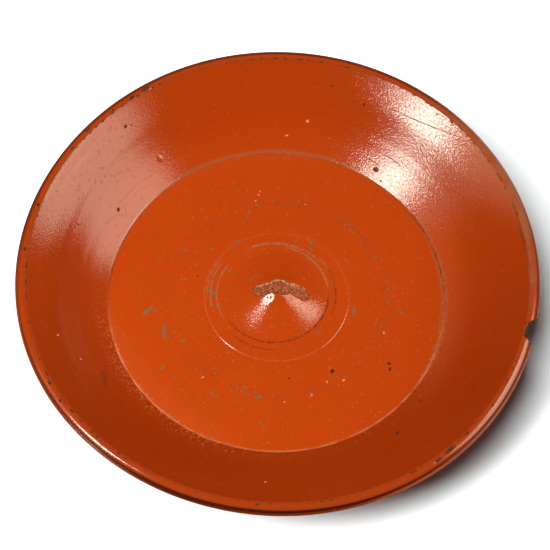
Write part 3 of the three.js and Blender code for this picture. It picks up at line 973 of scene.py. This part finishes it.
def red_gloss():
    """Glossy red slip: mottled, streaked by the wheel, rubbed at the arris and scuffed by use."""
    finish, shader, start = new_finish("red_gloss_slip")
    here = dish_zones(start)
    gloss = fired_slip(here)
    gloss = rubbed_lip(here, gloss)
    gloss = rubbed_angle(here, gloss)
    gloss = light_wear(here, gloss)
    clay, matt = worn_through(here, gloss)
    clay, matt = worn_patch(here, clay, matt)
    clay, matt = lip_edges(here, clay, matt)
    roughness = GLOSS_ROUGHNESS + (here.place.grain(0.012, 3.0) - 0.5) * 0.06
    normal = hand_texture(here)
    wire(start, shader, Base_Color=gloss, Roughness=roughness, Normal=normal)
    matt_over(start, shader, matt, Base_Color=clay, Normal=normal)
    return finish


BREAK_DARK = shade(50, 33, 24)
BREAK_BROWN = shade(104, 68, 47)
BREAK_GRIT = shade(168, 116, 88)
BREAK_NICK = shade(160, 96, 64)


def broken_clay():
    """Bare fired clay where the lip has broken: fine grained, brown with age and handling."""
    finish, shader, start = new_finish("broken_clay")
    place = start.add("ShaderNodeTexCoord", None, None, "Object")
    lumps = place.grain(0.0011, 4.0, 0.65)
    grit = place.grain(0.00035, 2.0)
    colour = lumps.rise(0.35, 0.65).tint(BREAK_DARK, BREAK_BROWN)
    colour = (grit.rise(0.62, 0.75) * 0.5).tint(colour, BREAK_GRIT)
    x, y, _ = place.parts()
    old_nicks = x.rise(0.03, 0.07) * y.rise(-0.018, -0.010)
    colour = (old_nicks * 0.6).tint(colour, BREAK_NICK)
    normal = bumped(lumps * 0.00012 + grit * 0.00004, 1.0)
    wire(start, shader, Base_Color=colour, Roughness=0.85, Specular_IOR_Level=0.1, Normal=normal)
    return finish


def break_away(piece, missing):
    """Takes the missing clay out of the piece for good."""
    change = piece.modifiers.new("broken away", "BOOLEAN")
    change.operation = "DIFFERENCE"
    change.object = missing
    change.solver = "MANIFOLD"
    change.material_mode = "TRANSFER"
    graph = bpy.context.evaluated_depsgraph_get()
    broken = bpy.data.meshes.new_from_object(piece.evaluated_get(graph))
    piece.modifiers.clear()
    piece.data = broken
    bpy.data.objects.remove(missing)


def smoothed(piece, sharpest):
    """Smooth shading, with edges sharper than that angle in degrees left crisp."""
    piece.data.polygons.foreach_set("use_smooth", [True] * len(piece.data.polygons))
    piece.data.set_sharp_from_angle(angle=math.radians(sharpest))


dish.data.materials.append(red_gloss())
cutter.data.materials.append(broken_clay())
break_away(dish, cutter)
smoothed(dish, 38)
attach(dish, "root")
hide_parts("bowl_body")


# The luting slip: a thin bed of liquid clay that joined the foot ring to the floor while both were
# leather hard. It fired with them, and shows only as a narrow line in the seat.
bed_low, bed_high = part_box("luting_slip")
SEAT_GAP = 0.0003
BED_INNER = SEAT_INNER + SEAT_GAP
BED_OUTER = SEAT_OUTER - SEAT_GAP
BED_SQUEEZE = 0.0002
DRY_BROWN = shade(176, 104, 66)
DRY_PALE = shade(206, 138, 98)


def bed_profile():
    """A flat bed whose two sides swell where the ring squeezed it."""
    thickness = bed_high.z - bed_low.z
    middle = (bed_high.z + bed_low.z) / 2
    bulge = np.linspace(-1, 1, 9)
    swell = BED_SQUEEZE * (1 - bulge**2)
    levels = middle + bulge * thickness / 2
    outer = np.stack([BED_OUTER + swell, levels], axis=1)
    inner = np.stack([BED_INNER - swell, levels], axis=1)[::-1]
    top = straight(outer[-1], inner[0], 6)[:-1]
    bottom = straight(inner[-1], outer[0], 6)[:-1]
    return np.vstack([outer, top, inner, bottom])


def dried_slip():
    """The bed's clay slip: pale, matt and finely grained."""
    finish, shader, start = new_finish("dried_clay_slip")
    place = start.add("ShaderNodeTexCoord", None, None, "Object")
    grain = place.grain(0.0008, 4.0, 0.6)
    colour = grain.rise(0.3, 0.7).tint(DRY_BROWN, DRY_PALE)
    wire(start, shader, Base_Color=colour, Roughness=0.88, Normal=bumped(grain, 0.00008))
    return finish


luting = as_piece("luting_bed", turned(bed_profile()), closed=True)
luting.data.materials.append(dried_slip())
smoothed(luting, 50)
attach(luting, "root")
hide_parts("luting_slip")


# The foot ring: a ring of the same clay, turned to shape and set in its seat, which lifts the dish
# off the table. The slip covers it, except where standing and sliding have rubbed it bare.
foot_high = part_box("foot_ring")[1]
STANDING_INNER = 0.0511
STANDING_OUTER = 0.0545
FOOT_EDGE = 0.0006
FOOT_RED = shade(186, 66, 20)
FOOT_DEEP = shade(164, 56, 18)
BARE_BROWN = shade(186, 112, 74)
BARE_PALE = shade(204, 140, 102)


def foot_profile():
    """A narrow standing face with eased edges, widening up to the bed of slip."""
    top = foot_high.z
    outer_low = (STANDING_OUTER + FOOT_EDGE, FOOT_EDGE)
    inner_low = (STANDING_INNER - FOOT_EDGE, FOOT_EDGE)
    outer_corner = (STANDING_OUTER + FOOT_EDGE, 0)
    inner_corner = (STANDING_INNER - FOOT_EDGE, 0)
    return np.vstack([
        straight((STANDING_INNER, 0), (STANDING_OUTER, 0), 6),
        curved((STANDING_OUTER, 0), outer_corner, outer_corner, outer_low, 6),
        straight(outer_low, (BED_OUTER, top), 14),
        straight((BED_OUTER, top), (BED_INNER, top), 6),
        straight((BED_INNER, top), inner_low, 14),
        curved(inner_low, inner_corner, inner_corner, (STANDING_INNER, 0), 6),
    ])


def foot_gloss():
    """The same red slip, thinner on the foot and rubbed through where it stands."""
    finish, shader, start = new_finish("foot_ring_slip")
    place = start.add("ShaderNodeTexCoord", None, None, "Object")
    z = place.parts()[2]
    fray = place.grain(0.0024, 4.0, 0.6)
    clouds = place.grain(0.012, 3.0)
    colour = clouds.rise(0.3, 0.7).tint(FOOT_RED, FOOT_DEEP)
    bare = (z + (fray - 0.5) * 0.0022).rise(0.0009, 0.0003)
    colour = bare.tint(colour, fray.rise(0.3, 0.7).tint(BARE_BROWN, BARE_PALE))
    roughness = 0.34 + bare * 0.4
    height = place.grain(0.0015, 2.0) * 0.00003 + fray * 0.00002
    wire(start, shader, Base_Color=colour, Roughness=roughness, Normal=bumped(height, 1.0))
    return finish


foot = as_piece("foot_ring_turned", turned(foot_profile()), closed=True)
foot.data.materials.append(foot_gloss())
smoothed(foot, 50)
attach(foot, "root")
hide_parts("foot_ring")


# The table: a wide white sheet, a little cool, lit by lamps of its own so that it is white all over
# and keeps the dish's shadow.
SHEET_RADIUS = 5.0
SHEET_LEVEL = -0.0002
SHEET_WHITE = (0.77, 0.8, 0.8, 1)
SHEET_GLOW = (0.11, 0.13, 0.14, 1)


def table_sheet():
    """White to the eye and in reflections; it throws only a little light back up under the dish."""
    finish, shader, start = new_finish("white_sheet")
    ray = start.add("ShaderNodeLightPath", None, None, "Is Camera Ray")
    seen = (ray + ray.also("Is Glossy Ray") + ray.also("Is Transmission Ray")).smaller(1.0)
    colour = seen.tint(SHEET_GLOW, SHEET_WHITE)
    wire(start, shader, Base_Color=colour, Roughness=0.9, Specular_IOR_Level=0.0)
    edge = (SHEET_RADIUS, SHEET_LEVEL)
    rows = np.vstack([[edge], straight(edge, (0, SHEET_LEVEL), 8)])
    sheet = as_piece("table_sheet", turned(rows), closed=False)
    sheet.data.materials.append(finish)
    smoothed(sheet, 60)
    return sheet


sheet = table_sheet()


# Studio light: for the dish, a narrow bright softbox to the left with a weak broad fill beside it, and
# a broad dimmer one to the right with a small lamp above it. Two suns light the table alone, and throw
# the dish's shadow to the right.
DISH_MIDDLE = Vector((0, 0, 0.03))
STUDIO_GREY = (0.04, 0.04, 0.04, 1)


def only_for(name, *things):
    """A group of things for a lamp to light and no others."""
    group = bpy.data.collections.new(name)
    for thing in things:
        group.objects.link(thing)
    return group


def facing(from_place, to_place):
    """The turn that points a lamp from one place to the other."""
    return (to_place - from_place).to_track_quat("-Z", "Y").to_euler()


def lamp(name, kind, bearing, elevation, distance, receivers, **settings):
    """A lamp aimed at the dish from that bearing and elevation in degrees."""
    data = bpy.data.lights.new(name, kind)
    for key, value in settings.items():
        setattr(data, key, value)
    holder = bpy.data.objects.new(name, data)
    bpy.context.scene.collection.objects.link(holder)
    height = distance * math.sin(math.radians(elevation))
    reach = distance * math.cos(math.radians(elevation))
    holder.location = from_polar(bearing, reach, height) + DISH_MIDDLE
    holder.rotation_euler = facing(holder.location, DISH_MIDDLE)
    holder.light_linking.receiver_collection = receivers
    return holder


dish_pieces = only_for("lit_dish", dish, luting, foot)
table_only = only_for("lit_table", sheet)
lamp("left_softbox", "AREA", 203.8, 46.5, 1.1, dish_pieces,
     shape="RECTANGLE", size=0.23, size_y=0.45, energy=11.2, color=(0.94, 0.97, 0.83))
lamp("left_fill", "AREA", 190, 36, 1.1, dish_pieces,
     shape="RECTANGLE", size=0.42, size_y=0.55, energy=0.9, color=(1.0, 0.95, 0.74))
lamp("right_softbox", "AREA", 0, 36.5, 1.2, dish_pieces,
     shape="DISK", size=0.92, energy=9.6, color=(1.0, 0.96, 0.74))
lamp("right_upper", "AREA", 15, 52, 1.2, dish_pieces,
     shape="DISK", size=0.40, energy=1.8, color=(1.0, 0.96, 0.76))
lamp("table_lamp_low", "SUN", 209.2, 48.0, 2.0, table_only, energy=4.09, angle=math.radians(24.2))
lamp("table_lamp_high", "SUN", 213.6, 69.5, 2.0, table_only, energy=4.49, angle=math.radians(31.6))

world = bpy.data.worlds.new("dim_studio")
world.use_nodes = True
world.node_tree.nodes["Background"].inputs["Color"].default_value = STUDIO_GREY
bpy.context.scene.world = world


# The camera: it looks down into the dish from the front, a little rolled, through a long lens, and the
# dish fills most of its square picture.
CAMERA_ELEVATION = math.radians(61.752)
CAMERA_DISTANCE = 1.3407
CAMERA_ROLL = math.radians(1.38)
CAMERA_SENSOR = 36
CAMERA_LENS = 180.28
CAMERA_REACH = 20
CAMERA_AIM = Vector((-0.00099, 0.01284, 0.0155))

camera_data = bpy.data.cameras.new("camera")
camera_data.sensor_width = CAMERA_SENSOR
camera_data.lens = CAMERA_LENS
camera_data.clip_end = CAMERA_REACH
camera = bpy.data.objects.new("camera", camera_data)
bpy.context.scene.collection.objects.link(camera)
back = Vector((0, -math.cos(CAMERA_ELEVATION), math.sin(CAMERA_ELEVATION)))
right = Vector((1, 0, 0))
up = back.cross(right)
axes = Matrix((
    math.cos(CAMERA_ROLL) * right + math.sin(CAMERA_ROLL) * up,
    math.cos(CAMERA_ROLL) * up - math.sin(CAMERA_ROLL) * right,
    back,
)).transposed()
camera.matrix_world = Matrix.Translation(CAMERA_AIM + CAMERA_DISTANCE * back) @ axes.to_4x4()
bpy.context.scene.camera = camera
bpy.context.scene.view_settings.view_transform = "Standard"
